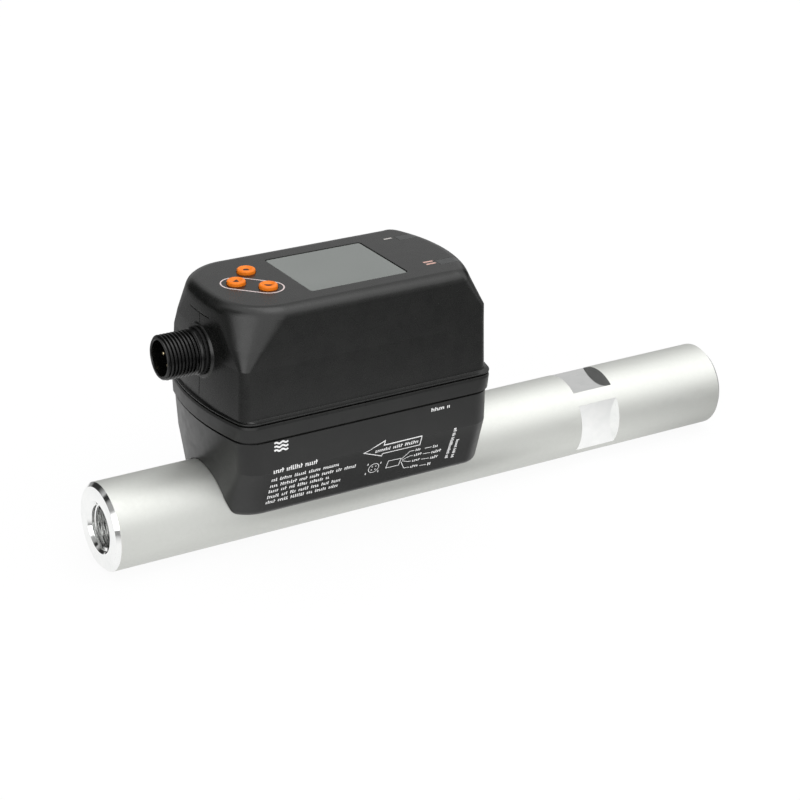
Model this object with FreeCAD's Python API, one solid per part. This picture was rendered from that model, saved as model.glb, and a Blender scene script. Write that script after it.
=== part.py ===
import FreeCAD, Part
import math
import os

# Compressed air flow meter, all sizes in millimetres
# X runs along the pipe from the outlet to the inlet, Y away from the side that carries the flow diagram, Z up
# The origin is on the pipe's axis, where the full thread of the outlet begins

# Fits
RUNNING_FIT = 0.05       # radial, turned pieces and screws in their holes
BOND_GAP = 0.1           # glued and clipped pieces in their openings
SLIP_GAP = 0.3           # moulded pieces that pass each other

# Measuring pipe
PIPE_R = 12.0
PIPE_LENGTH = 196.5
PIPE_CHAMFER = 1.05
PORT_MINOR_R = 5.7225    # minor radius of a G 1/4 thread
PORT_DEPTH = 12.0
SINK_DEPTH = 1.4         # 45 degree countersink in front of each thread
DRILL_ANGLE = 118.0      # point angle of the drill behind each thread
CHANNEL_R = 4.0
FLATS_START = 144.2
FLATS_LENGTH = 13.2
FLATS_WIDTH = 19.6
PROBE_X = 67.4           # centre of the probe along the pipe
PAD_Z = 10.4             # height of the milled seat under the housing
PAD_LENGTH = 30.4
PROBE_HOLE_R = 5.1
PROBE_HOLE_Z = 2.8       # floor of the cross hole, below the channel's crest

# M3 screws
SCREW_R = 1.5
SCREW_HEAD_R = 2.75
SCREW_HEAD_H = 3.0
PIPE_SCREW_Z = 5.6       # floor of the screw holes in the pipe
PIPE_SCREW_TIP_Z = 6.2
PROBE_SCREW_REACH = 10.4
HOUSING_SCREW_INNER = 20.0
HOUSING_SCREW_OUTER = 33.0

# Small board screws
BOARD_SCREW_R = 1.0
BOARD_SCREW_HEAD_R = 1.9
BOARD_SCREW_HEAD_H = 1.5
BOARD_SCREW_LENGTH = 7.0

# Plan of the housing: both ends bulge outwards
END_BULGE_R = 72.0
WALL_BULGE_R = 95.0      # the cover's walls
TOP_BULGE_R = 35.3       # the cover's top
LEAST_CORNER_R = 0.6

# Lower housing
RIM_Z = 29.75
RIM_START = 27.2
RIM_END = 108.6
RIM_HALF = 22.0
RIM_CORNER_R = 4.5
RIM_DRAFT_Z = 29.0       # the rim leans inwards above this
RIM_DRAFT = 0.15
SHOULDER_Z = 25.4
SHOULDER_CORNER_R = 6.0
SIDE_STEP = 0.6          # step back below the shoulder on both sides
END_STEP = 0.4           # the same at both ends
GROOVE_Z = 24.55         # lower edge of the shadow groove under the shoulder
GROOVE_DEPTH = 0.6
FACET_Z = 15.6           # the sides turn inwards below this
FACET_LEAN = 0.8         # the outlet end leans in by this much between shoulder and facet
FOOT_Z = 0.6
FOOT_START_STEP = 1.6    # steps back from the rim
FOOT_END_STEP = 0.2
FOOT_SIDE_STEP = 6.7
FOOT_LOW_CORNER_R = 10.5
FOOT_HIGH_CORNER_R = 6.0
FOOT_EDGE_R = 2.5
SADDLE_GAP = 0.2
SADDLE_WALL = 2.0
LOWER_WALL = 2.6
POCKET_Z = 5.0           # floor of the hollow on both sides of the pipe
FLOOR_Z = 14.8           # top of the screw pads
FLOOR_PAD_R = 4.0
PORT_OPENING_L = 29.6
PORT_OPENING_W = 13.6
PORT_FRAME = 2.0         # width of the raised frame round that opening
TONGUE_Z = 26.5          # the wall thickens inwards above this to carry the tongue
TONGUE_TOP = 33.5
TONGUE_T = 1.2
TONGUE_GAP = 0.15
CATCH_X = 22.0           # snap ridges, from the probe's centre
CATCH_L = 10.0
CATCH_H = 0.8
CATCH_OUT = 0.5
CATCH_Z = 32.0

# Upper housing
LIP_Z = 30.35
LIP_TOP = 30.6
LEDGE_TOP = 30.8         # narrow sloping ledge above the lip
LEDGE_STEP = 0.6
FLARE_TOP = 31.1
WALL_START_STEP = 0.8    # steps back from the rim, here and below
WALL_END_STEP = 2.3
WALL_SIDE_STEP = 1.3
WALL_CORNER_R = 2.5
BEND_Z = 44.5            # the outlet end's corners open into cones above this
BEND_START_STEP = 1.4
BEND_END_STEP = 2.75
BEND_SIDE_STEP = 1.72
HIGH_BEND_Z = 49.5       # the same at the inlet end
HIGH_BEND_END_STEP = 2.9
TOP_Z = 60.0
TOP_START_STEP = 1.3
TOP_END_STEP = 5.65
TOP_SIDE_STEP = 1.9
TOP_LOW_CORNER_R = 17.7
TOP_HIGH_CORNER_R = 5.8
TOP_EDGE_R = 3.3
SEAM_WIDTH = 0.25        # mould seams on the outlet end
SEAM_DEPTH = 0.3
SEAM_Y = -0.4
SEAM_LOW_Z = 32.0
SEAM_HIGH_Z = 54.7
SEAM_HALF = 5.35
UPPER_WALL = 2.2
ROOF_T = 2.2
CEILING_Z = TOP_Z - ROOF_T

# Gasket between the housings
GASKET_BACK = 0.9        # how far it stays behind the outer faces

# Display
WINDOW_START = 54.5
WINDOW_END = 83.35
WINDOW_HALF = 12.56
WINDOW_CORNER_R = 0.8
WINDOW_SUNK = 0.15
WINDOW_GAP = 0.25        # shadow line round the window
WINDOW_T = 1.5
WINDOW_LEDGE = 1.6
DISPLAY_START = 53.6
DISPLAY_END = 84.2
DISPLAY_HALF = 13.6
DISPLAY_GASKET_T = 0.8

# Push buttons
ENTER_XY = (46.0, 7.2)
UP_XY = (39.9, 1.1)
DOWN_XY = (45.9, -5.2)
CAP_R = 2.475
CAP_PROUD = 1.05
CAP_EDGE_R = 0.5
CAP_DISH_R = 1.65
CAP_DISH_DEPTH = 0.55
CAP_GAP = 0.15
CAP_FLANGE_R = 3.1
CAP_FLANGE_T = 1.0
CAP_STEM_R = 1.2
CAP_STEM_H = 2.7         # its lower end above the control board
SEAL_T = 0.6
SEAL_R = 4.2
SEAL_BAR_R = 3.0
SEAL_HOLE_R = 2.8
SWITCH_HALF = 2.5
SWITCH_H = 1.7
PLUNGER_R = 1.1
PLUNGER_H = 2.0

# Output lights
LIGHT_START = 94.1
LIGHT_END = 101.5
LIGHT_Y = 10.4
LIGHT_HALF = 1.6
LIGHT_FLANGE = 0.6
LIGHT_LEG_H = 1.5        # its lower end above the control board
LIGHT_LEG_HALF = 1.1
LED_X = 96.0
LED_HALF_L = 1.5
LED_HALF_W = 0.8
LED_H = 0.9

# Control board under the cover
CONTROL_DROP = 5.3       # from the ceiling to the board's top
CONTROL_TOP = CEILING_Z - CONTROL_DROP
CONTROL_T = 1.6
CONTROL_START = 35.5
CONTROL_END = 99.8
CONTROL_HALF = 15.5
CONTROL_CORNER_R = 6.0
CONTROL_SCREW_START = 40.5
CONTROL_SCREW_END = 88.5
CONTROL_SCREW_Y = 12.2
CONTROL_POST_R = 2.4

# Main board over the pipe
MAIN_Z = 21.0
MAIN_T = 1.6
MAIN_START = 33.0
MAIN_END = 101.0
MAIN_HALF = 16.2
MAIN_CORNER_R = 4.0
MAIN_SCREW_X = 30.0      # from the probe's centre
MAIN_SCREW_Y = 13.0
MAIN_POST_R = 2.6
MAIN_POST_Z = 6.0

# Ribbons and their sockets
RIBBON_T = 0.3
RIBBON_HALF = 4.5
SOCKET_HALF = 6.0
SOCKET_L = 4.0
SOCKET_H = 2.4
BOARD_SOCKET_START = 92.0
BOARD_RIBBON_END = 98.5
DISPLAY_SOCKET_START = 87.0
DISPLAY_SOCKET_L = 3.0
DISPLAY_SOCKET_HALF = 5.5
DISPLAY_SOCKET_H = 1.4
CONNECTOR_SOCKET_START = 44.0
CONNECTOR_RIBBON_TOP = 41.0

# M12 connector
M12_Z = 44.08
M12_MOUTH = 17.0
M12_THREAD_R = 6.0
M12_CHAMFER = 0.5
M12_THREAD_END = 26.5
M12_COLLAR_R = 6.25
M12_COLLAR_END = 27.4
M12_NECK_R = 5.65
M12_BORE_R = 4.7
M12_BACK = 35.0
M12_BOSS_FACE_R = 7.2
M12_BOSS_R = 8.2
M12_BOSS_CONE = 1.2      # length over which the boss widens
M12_BOSS_FACE = 28.2
M12_BOSS_BACK = 31.6
M12_SEAL_R = 6.45
M12_SEAL_EDGE_R = 0.25
M12_KEY_HALF = 0.5
M12_KEY_H = 0.6
M12_KEY_START = 19.0
M12_KEY_TURN = -45.0     # degrees round the axis from the top
NUT_T = 3.0
NUT_FLATS = 14.0
INSERT_FACE = 26.8
INSERT_FLANGE_R = 5.4
INSERT_BACK = 36.0
PIN_R = 0.5
PIN_CIRCLE_R = 2.5
PIN_TIP = 19.2
PIN_BACK = 38.4
PIN_FIT = 0.02
M12_BOARD_R = 6.5
M12_BOARD_T = 1.2

# Sensor probe
PLUG_R = 5.0
PLUG_Z = 3.2
PLUG_FLANGE_L = 27.0
PLUG_FLANGE_W = 11.0
PLUG_FLANGE_T = 2.2
PLUG_FLANGE_CORNER_R = 2.0
PROBE_GROOVE_R = 3.7
PROBE_GROOVE_Z = 5.6
PROBE_GROOVE_W = 2.0
PROBE_SEAL_EDGE_R = 0.4
PORT_SEAL_TOP = 13.0
ELEMENT_R = 0.8
ELEMENT_X = 2.2
ELEMENT_TOP = 4.7
ELEMENT_TIP = -1.5
HEADER_HALF_L = 6.0
HEADER_HALF_W = 1.25


# Simple solids

def box(x0, x1, y0, y1, z0, z1):
    return Part.makeBox(x1 - x0, y1 - y0, z1 - z0, FreeCAD.Vector(x0, y0, z0))


def middle_box(x, y, half_x, half_y, z0, z1):
    return box(x - half_x, x + half_x, y - half_y, y + half_y, z0, z1)


def rod_x(r, x0, x1, y, z):
    return Part.makeCylinder(r, x1 - x0, FreeCAD.Vector(x0, y, z), FreeCAD.Vector(1, 0, 0))


def rod_z(r, z0, z1, x, y):
    return Part.makeCylinder(r, z1 - z0, FreeCAD.Vector(x, y, z0), FreeCAD.Vector(0, 0, 1))


def plate(x0, x1, half, z0, z1, corner_r):
    """Flat plate, symmetric in Y, with rounded upright edges"""
    shape = box(x0, x1, -half, half, z0, z1)
    upright = [e for e in shape.Edges if abs(e.Vertexes[0].Z - e.Vertexes[1].Z) > (z1 - z0) / 2]
    return shape.makeFillet(corner_r, upright)


def turned_x(profile, y=0.0, z=0.0):
    """Solid of revolution about an X axis from a list of (x, radius) corners"""
    points = [FreeCAD.Vector(x, y, z + r) for x, r in profile]
    face = Part.Face(Part.makePolygon(points + points[:1]))
    return face.revolve(FreeCAD.Vector(0, y, z), FreeCAD.Vector(1, 0, 0), 360)


def strip(profile, half):
    """Bent strip from its (x, z) corners, symmetric in Y"""
    points = [FreeCAD.Vector(x, -half, z) for x, z in profile]
    face = Part.Face(Part.makePolygon(points + points[:1]))
    return face.extrude(FreeCAD.Vector(0, 2 * half, 0))


def screw(x, y, head_z, up, shank_r, head_r, head_h, length):
    """Screw whose head rests at head_z; up is 1 when the head points up, -1 when it points down"""
    direction = FreeCAD.Vector(0, 0, up)
    seat = FreeCAD.Vector(x, y, head_z)
    head = Part.makeCylinder(head_r, head_h, seat, direction)
    slot_r = head_r / 2
    recess = Part.makeCylinder(slot_r, head_h / 2, seat + direction * (head_h / 2), direction)
    shank = Part.makeCylinder(shank_r, length, seat, direction * -1)
    return head.cut(recess).fuse(shank).removeSplitter()


# Plan outlines of the housing, as (z, start, end, half width, corner at start, corner at end, bulge)

def inset(outline, amount):
    z, start, end, half, start_corner, end_corner, bulge = outline
    return (z, start + amount, end - amount, half - amount,
            max(start_corner - amount, LEAST_CORNER_R), max(end_corner - amount, LEAST_CORNER_R),
            bulge - amount)


def at_height(outline, z):
    return (z,) + outline[1:]


def between(low, high, z):
    """Outline at height z on the straight walls between two outlines"""
    share = (z - low[0]) / (high[0] - low[0])
    return tuple(a + (b - a) * share for a, b in zip(low, high))


def end_arcs(apex, side, half, corner_r, bulge):
    """The three arcs round one end, from the near side to the far side; side is 1 at the inlet end"""
    centre = apex - side * bulge
    run = math.sqrt((bulge - corner_r) ** 2 - (half - corner_r) ** 2)
    angle = math.atan2(half - corner_r, run)
    corner_x = centre + side * run
    corner_y = half - corner_r
    turn = (angle + math.pi / 2) / 2

    def on_corner(a, far):
        return FreeCAD.Vector(corner_x + side * corner_r * math.cos(a),
                              far * (corner_y + corner_r * math.sin(a)), 0)

    def on_bulge(a):
        return FreeCAD.Vector(centre + side * bulge * math.cos(a), bulge * math.sin(a), 0)

    near = Part.Arc(on_corner(math.pi / 2, -1), on_corner(turn, -1), on_bulge(-angle))
    end = Part.Arc(on_bulge(-angle), on_bulge(0), on_bulge(angle))
    far = Part.Arc(on_bulge(angle), on_corner(turn, 1), on_corner(math.pi / 2, 1))
    return [near.toShape(), end.toShape(), far.toShape()]


def plan_wire(outline):
    z, start, end, half, start_corner, end_corner, bulge = outline
    high = end_arcs(end, 1, half, end_corner, bulge)
    low = end_arcs(start, -1, half, start_corner, bulge)
    near_side = Part.makeLine(low[0].Vertexes[0].Point, high[0].Vertexes[0].Point)
    far_side = Part.makeLine(high[2].Vertexes[1].Point, low[2].Vertexes[1].Point)
    wire = Part.Wire([near_side] + high + [far_side] + [low[2], low[1], low[0]])
    wire.translate(FreeCAD.Vector(0, 0, z))
    return wire


def walls(outlines):
    return Part.makeLoft([plan_wire(o) for o in outlines], True, True)


def prism(outline, z0, z1):
    return walls([at_height(outline, z0), at_height(outline, z1)])


# Outlines of the two housings

def stepped_plan(z, start_step, end_step, side_step, start_corner, end_corner, bulge=END_BULGE_R):
    """Outline that stays back from the rim by three steps"""
    return (z, RIM_START + start_step, RIM_END - end_step, RIM_HALF - side_step, start_corner, end_corner,
            bulge)


def rim_plan():
    return stepped_plan(RIM_Z, 0.0, 0.0, 0.0, RIM_CORNER_R, RIM_CORNER_R)


def shoulder_plan():
    return stepped_plan(SHOULDER_Z, 0.0, 0.0, 0.0, SHOULDER_CORNER_R, SHOULDER_CORNER_R)


def body_plan():
    return stepped_plan(SHOULDER_Z, END_STEP, END_STEP, SIDE_STEP, SHOULDER_CORNER_R, SHOULDER_CORNER_R)


def facet_plan():
    return stepped_plan(FACET_Z, END_STEP + FACET_LEAN, END_STEP, SIDE_STEP,
                        SHOULDER_CORNER_R, SHOULDER_CORNER_R)


def foot_plan():
    return stepped_plan(FOOT_Z, FOOT_START_STEP, FOOT_END_STEP, FOOT_SIDE_STEP,
                        FOOT_LOW_CORNER_R, FOOT_HIGH_CORNER_R)


def lip_plan():
    return stepped_plan(LIP_Z, 0.0, 0.0, 0.0, RIM_CORNER_R, RIM_CORNER_R)


def ledge_plan():
    corner = RIM_CORNER_R - LEDGE_STEP
    return stepped_plan(LEDGE_TOP, LEDGE_STEP, LEDGE_STEP, LEDGE_STEP, corner, corner)


def wall_plan():
    return stepped_plan(FLARE_TOP, WALL_START_STEP, WALL_END_STEP, WALL_SIDE_STEP,
                        WALL_CORNER_R, WALL_CORNER_R, WALL_BULGE_R)


def bend_plan():
    return stepped_plan(BEND_Z, BEND_START_STEP, BEND_END_STEP, BEND_SIDE_STEP,
                        WALL_CORNER_R, WALL_CORNER_R, WALL_BULGE_R)


def high_bend_plan():
    z, start, end, half, start_corner, end_corner, bulge = between(bend_plan(), top_plan(), HIGH_BEND_Z)
    return (z, start, RIM_END - HIGH_BEND_END_STEP, half, start_corner, WALL_CORNER_R, WALL_BULGE_R)


def top_plan():
    return stepped_plan(TOP_Z, TOP_START_STEP, TOP_END_STEP, TOP_SIDE_STEP,
                        TOP_LOW_CORNER_R, TOP_HIGH_CORNER_R, TOP_BULGE_R)


def tongue_plan():
    return inset(wall_plan(), UPPER_WALL + TONGUE_GAP)


# Places that several pieces share

def housing_screw_places():
    return [PROBE_X + reach for reach in
            (-HOUSING_SCREW_OUTER, -HOUSING_SCREW_INNER, HOUSING_SCREW_INNER, HOUSING_SCREW_OUTER)]


def probe_screw_places():
    return [PROBE_X - PROBE_SCREW_REACH, PROBE_X + PROBE_SCREW_REACH]


def main_screw_places():
    return [(PROBE_X + side * MAIN_SCREW_X, y) for side in (-1, 1) for y in (-MAIN_SCREW_Y, MAIN_SCREW_Y)]


def control_screw_places():
    return [(x, y) for x in (CONTROL_SCREW_START, CONTROL_SCREW_END)
            for y in (-CONTROL_SCREW_Y, CONTROL_SCREW_Y)]


def catch_boxes(grow):
    """Snap ridges on the tongue; grow widens them into the cover's grooves"""
    root = tongue_plan()[3]
    ridges = []
    for side in (-1, 1):
        for x in (PROBE_X - CATCH_X, PROBE_X + CATCH_X):
            inner = side * (root - TONGUE_T / 2)
            outer = side * (root + CATCH_OUT + grow)
            ridges.append(box(x - CATCH_L / 2 - grow, x + CATCH_L / 2 + grow,
                              min(inner, outer), max(inner, outer),
                              CATCH_Z - CATCH_H / 2 - grow, CATCH_Z + CATCH_H / 2 + grow))
    return ridges


# Pipe and housings

def measuring_pipe():
    face_0 = -SINK_DEPTH
    face_1 = PIPE_LENGTH - SINK_DEPTH
    port_1 = face_1 - SINK_DEPTH
    sink_r = PORT_MINOR_R + SINK_DEPTH
    drill_run = (PORT_MINOR_R - CHANNEL_R) / math.tan(math.radians(DRILL_ANGLE / 2))
    pipe = turned_x([
        (face_0, sink_r),
        (face_0, PIPE_R - PIPE_CHAMFER),
        (face_0 + PIPE_CHAMFER, PIPE_R),
        (face_1 - PIPE_CHAMFER, PIPE_R),
        (face_1, PIPE_R - PIPE_CHAMFER),
        (face_1, sink_r),
        (port_1, PORT_MINOR_R),
        (port_1 - PORT_DEPTH, PORT_MINOR_R),
        (port_1 - PORT_DEPTH - drill_run, CHANNEL_R),
        (PORT_DEPTH + drill_run, CHANNEL_R),
        (PORT_DEPTH, PORT_MINOR_R),
        (0.0, PORT_MINOR_R),
    ])
    flats_end = FLATS_START + FLATS_LENGTH
    half = FLATS_WIDTH / 2
    waste = rod_x(2 * PIPE_R, FLATS_START, flats_end, 0, 0)
    waste = waste.cut(box(FLATS_START, flats_end, -half, half, -half, half))
    pipe = pipe.cut(waste)
    pipe = pipe.cut(middle_box(PROBE_X, 0, PAD_LENGTH / 2, PIPE_R, PAD_Z, PIPE_R + 1))
    pipe = pipe.cut(rod_z(PROBE_HOLE_R, PROBE_HOLE_Z, PIPE_R, PROBE_X, 0))
    for x in probe_screw_places() + housing_screw_places():
        pipe = pipe.cut(rod_z(SCREW_R + RUNNING_FIT, PIPE_SCREW_Z, PIPE_R + 1, x, 0))
    return pipe


def lower_housing():
    body = walls([foot_plan(), facet_plan(), body_plan()])
    foot_edges = [e for e in body.Edges if e.BoundBox.ZMax < FOOT_Z + 0.01]
    body = body.makeFillet(FOOT_EDGE_R, foot_edges)
    groove = prism(inset(body_plan(), -GROOVE_DEPTH), GROOVE_Z, SHOULDER_Z)
    body = body.cut(groove.cut(prism(inset(body_plan(), GROOVE_DEPTH), GROOVE_Z, SHOULDER_Z)))
    rim = walls([shoulder_plan(), at_height(rim_plan(), RIM_DRAFT_Z), inset(rim_plan(), RIM_DRAFT)])
    shape = body.fuse(rim)
    shape = shape.fuse(prism(tongue_plan(), RIM_Z - TONGUE_T, TONGUE_TOP))
    # hollow, with a saddle-shaped floor of even thickness over the pipe
    hollow = walls([
        inset(between(foot_plan(), facet_plan(), POCKET_Z), LOWER_WALL),
        inset(facet_plan(), LOWER_WALL),
        at_height(inset(body_plan(), LOWER_WALL), TONGUE_Z),
    ])
    saddle_r = PIPE_R + SADDLE_GAP
    arch = rod_x(saddle_r + SADDLE_WALL, 0, RIM_END + PIPE_R, 0, 0)
    pads = [rod_z(FLOOR_PAD_R, PIPE_R, FLOOR_Z, x, 0) for x in housing_screw_places()]
    frame_l = PORT_OPENING_L / 2 + PORT_FRAME
    frame_w = PORT_OPENING_W / 2 + PORT_FRAME
    pads.append(middle_box(PROBE_X, 0, frame_l, frame_w, PAD_Z, FLOOR_Z))
    posts = [rod_z(MAIN_POST_R, MAIN_POST_Z, MAIN_Z, x, y) for x, y in main_screw_places()]
    hollow = hollow.cut(Part.makeCompound([arch] + pads + posts))
    shape = shape.cut(hollow)
    shape = shape.cut(prism(inset(tongue_plan(), TONGUE_T), TONGUE_Z, TONGUE_TOP))
    shape = shape.cut(rod_x(saddle_r, 0, RIM_END + PIPE_R, 0, 0))
    shape = shape.cut(middle_box(PROBE_X, 0, PORT_OPENING_L / 2, PORT_OPENING_W / 2, 0, FLOOR_Z))
    for x in housing_screw_places():
        shape = shape.cut(rod_z(SCREW_R + BOND_GAP, 0, FLOOR_Z, x, 0))
    for x, y in main_screw_places():
        hole_z = MAIN_Z + MAIN_T - BOARD_SCREW_LENGTH - SLIP_GAP
        shape = shape.cut(rod_z(BOARD_SCREW_R + RUNNING_FIT, hole_z, MAIN_Z, x, y))
    for ridge in catch_boxes(0.0):
        shape = shape.fuse(ridge)
    return shape.removeSplitter()


def cover_outlines():
    return [lip_plan(), at_height(lip_plan(), LIP_TOP), ledge_plan(), wall_plan(), bend_plan(),
            high_bend_plan(), top_plan()]


def cover_solid():
    """Outside of the cover as one solid block"""
    block = walls(cover_outlines())
    top_edges = [e for e in block.Edges if e.BoundBox.ZMin > TOP_Z - 0.01]
    return block.makeFillet(TOP_EDGE_R, top_edges)


def button_places():
    return [ENTER_XY, UP_XY, DOWN_XY]


def light_box(side, grow, z0):
    """One light guide's window, side -1 near and 1 far; grow widens it into the cover's opening"""
    return box(LIGHT_START - grow, LIGHT_END + grow,
               side * LIGHT_Y - LIGHT_HALF - grow, side * LIGHT_Y + LIGHT_HALF + grow, z0, TOP_Z + 1)


def cover_seams():
    """Fine grooves where the mould's slide met the outlet end"""
    outside = RIM_START - SEAM_DEPTH
    inside = RIM_START + WALL_CORNER_R
    half = SEAM_WIDTH / 2
    upright = box(outside, inside, SEAM_Y - half, SEAM_Y + half, SEAM_LOW_Z, SEAM_HIGH_Z)
    level = box(outside, inside, -SEAM_HALF, SEAM_HALF, SEAM_HIGH_Z - half, SEAM_HIGH_Z + half)
    return upright.fuse(level).cut(walls([inset(outline, SEAM_DEPTH) for outline in cover_outlines()]))


def cover_boss():
    """Seat of the connector"""
    return turned_x([(M12_BOSS_FACE, 0.0), (M12_BOSS_FACE, M12_BOSS_FACE_R),
                     (M12_BOSS_FACE + M12_BOSS_CONE, M12_BOSS_R), (M12_BOSS_BACK, M12_BOSS_R),
                     (M12_BOSS_BACK, 0.0)], 0.0, M12_Z)


def upper_housing():
    shape = cover_solid().cut(cover_seams())
    inner_wall = inset(wall_plan(), UPPER_WALL)
    ceiling = inset(between(high_bend_plan(), top_plan(), CEILING_Z), UPPER_WALL)
    hollow = walls([at_height(inner_wall, LIP_Z), inner_wall, inset(bend_plan(), UPPER_WALL),
                    inset(high_bend_plan(), UPPER_WALL), ceiling])
    posts = [rod_z(CONTROL_POST_R, CONTROL_TOP, TOP_Z, x, y) for x, y in control_screw_places()]
    boss = cover_boss()
    shape = shape.cut(hollow.cut(Part.makeCompound(posts + [boss])))
    shape = shape.fuse(boss)
    shape = shape.cut(rod_x(M12_NECK_R + BOND_GAP, M12_MOUTH, M12_BACK, 0, M12_Z))
    for x, y in button_places():
        shape = shape.cut(rod_z(CAP_R + CAP_GAP, CEILING_Z - 1, TOP_Z + 1, x, y))
    window_z = TOP_Z - WINDOW_SUNK - WINDOW_T
    shape = shape.cut(plate(WINDOW_START - WINDOW_GAP, WINDOW_END + WINDOW_GAP, WINDOW_HALF + WINDOW_GAP,
                            window_z, TOP_Z + 1, WINDOW_CORNER_R + WINDOW_GAP))
    shape = shape.cut(box(WINDOW_START + WINDOW_LEDGE, WINDOW_END - WINDOW_LEDGE,
                          WINDOW_LEDGE - WINDOW_HALF, WINDOW_HALF - WINDOW_LEDGE, CEILING_Z - 1, TOP_Z))
    for side in (-1, 1):
        shape = shape.cut(light_box(side, BOND_GAP, CEILING_Z))
    for x, y in control_screw_places():
        hole_z = CONTROL_TOP - CONTROL_T + BOARD_SCREW_LENGTH + SLIP_GAP
        shape = shape.cut(rod_z(BOARD_SCREW_R + RUNNING_FIT, CONTROL_TOP, hole_z, x, y))
    for groove in catch_boxes(TONGUE_GAP):
        shape = shape.cut(groove)
    return shape.removeSplitter()


def housing_gasket():
    outer = prism(inset(rim_plan(), GASKET_BACK), RIM_Z, LIP_Z)
    hole = inset(tongue_plan(), -BOND_GAP)
    return outer.cut(prism(hole, RIM_Z, LIP_Z))


# Display

def display_window():
    top = TOP_Z - WINDOW_SUNK
    return plate(WINDOW_START, WINDOW_END, WINDOW_HALF, top - WINDOW_T, top, WINDOW_CORNER_R)


def display_top():
    return CEILING_Z - DISPLAY_GASKET_T


def display_gasket():
    outer = box(DISPLAY_START, DISPLAY_END, -DISPLAY_HALF, DISPLAY_HALF, display_top(), CEILING_Z)
    view = box(WINDOW_START + WINDOW_LEDGE, WINDOW_END - WINDOW_LEDGE,
               WINDOW_LEDGE - WINDOW_HALF, WINDOW_HALF - WINDOW_LEDGE, display_top(), CEILING_Z)
    return outer.cut(view)


def display_module():
    return box(DISPLAY_START, DISPLAY_END, -DISPLAY_HALF, DISPLAY_HALF, CONTROL_TOP, display_top())


def display_ribbon():
    z = CONTROL_TOP + DISPLAY_SOCKET_H / 2
    return box(DISPLAY_END, DISPLAY_SOCKET_START, -RIBBON_HALF, RIBBON_HALF,
               z - RIBBON_T / 2, z + RIBBON_T / 2)


def display_ribbon_socket():
    return box(DISPLAY_SOCKET_START, DISPLAY_SOCKET_START + DISPLAY_SOCKET_L,
               -DISPLAY_SOCKET_HALF, DISPLAY_SOCKET_HALF, CONTROL_TOP, CONTROL_TOP + DISPLAY_SOCKET_H)


# Push buttons and what they press

def button(place):
    x, y = place
    top = TOP_Z + CAP_PROUD
    flange_top = CEILING_Z - SEAL_T - BOND_GAP
    cap = rod_z(CAP_R, flange_top, top, x, y)
    rim = [e for e in cap.Edges if e.BoundBox.ZMin > top - 0.01]
    cap = cap.makeFillet(CAP_EDGE_R, rim)
    dish_r = (CAP_DISH_R ** 2 + CAP_DISH_DEPTH ** 2) / (2 * CAP_DISH_DEPTH)
    cap = cap.cut(Part.makeSphere(dish_r, FreeCAD.Vector(x, y, top - CAP_DISH_DEPTH + dish_r)))
    flange = rod_z(CAP_FLANGE_R, flange_top - CAP_FLANGE_T, flange_top, x, y)
    stem = rod_z(CAP_STEM_R, CONTROL_TOP + CAP_STEM_H, flange_top, x, y)
    return cap.fuse(flange).fuse(stem).removeSplitter()


def enter_button():
    return button(ENTER_XY)


def up_button():
    return button(UP_XY)


def down_button():
    return button(DOWN_XY)


def switch(place):
    x, y = place
    case = middle_box(x, y, SWITCH_HALF, SWITCH_HALF, CONTROL_TOP, CONTROL_TOP + SWITCH_H)
    return case.fuse(rod_z(PLUNGER_R, CONTROL_TOP, CONTROL_TOP + PLUNGER_H, x, y)).removeSplitter()


def enter_switch():
    return switch(ENTER_XY)


def up_switch():
    return switch(UP_XY)


def down_switch():
    return switch(DOWN_XY)


def flat_bar(start, end, r, z0, z1):
    """Straight bar between two places, 2 r wide"""
    run = FreeCAD.Vector(end[0] - start[0], end[1] - start[1], 0)
    bar = Part.makeBox(run.Length, 2 * r, z1 - z0, FreeCAD.Vector(0, -r, 0))
    bar.rotate(FreeCAD.Vector(0, 0, 0), FreeCAD.Vector(0, 0, 1), math.degrees(math.atan2(run.y, run.x)))
    bar.translate(FreeCAD.Vector(start[0], start[1], z0))
    return bar


def button_seal():
    z0 = CEILING_Z - SEAL_T
    sheet = flat_bar(UP_XY, ENTER_XY, SEAL_BAR_R, z0, CEILING_Z)
    sheet = sheet.fuse(flat_bar(UP_XY, DOWN_XY, SEAL_BAR_R, z0, CEILING_Z))
    for x, y in button_places():
        sheet = sheet.fuse(rod_z(SEAL_R, z0, CEILING_Z, x, y))
    for x, y in button_places():
        sheet = sheet.cut(rod_z(SEAL_HOLE_R, z0, CEILING_Z, x, y))
    return sheet.removeSplitter()


# Output lights

def output_light(side):
    window = light_box(side, 0.0, CEILING_Z).common(cover_solid())
    y = side * LIGHT_Y
    flange = box(LIGHT_START, LED_X + LIGHT_LEG_HALF + LIGHT_FLANGE, y - LIGHT_HALF - LIGHT_FLANGE,
                 y + LIGHT_HALF + LIGHT_FLANGE, CEILING_Z - LIGHT_FLANGE, CEILING_Z)
    leg = middle_box(LED_X, y, LIGHT_LEG_HALF, LIGHT_HALF, CONTROL_TOP + LIGHT_LEG_H, CEILING_Z)
    return window.fuse(flange).fuse(leg).removeSplitter()


def output_light_1():
    return output_light(-1)


def output_light_2():
    return output_light(1)


def led(side):
    return middle_box(LED_X, side * LIGHT_Y, LED_HALF_L, LED_HALF_W, CONTROL_TOP, CONTROL_TOP + LED_H)


def output_led_1():
    return led(-1)


def output_led_2():
    return led(1)


# Boards, sockets and ribbons

def control_board():
    z0 = CONTROL_TOP - CONTROL_T
    board = plate(CONTROL_START, CONTROL_END, CONTROL_HALF, z0, CONTROL_TOP, CONTROL_CORNER_R)
    for x, y in control_screw_places():
        board = board.cut(rod_z(BOARD_SCREW_R + BOND_GAP, z0, CONTROL_TOP, x, y))
    return board


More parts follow.
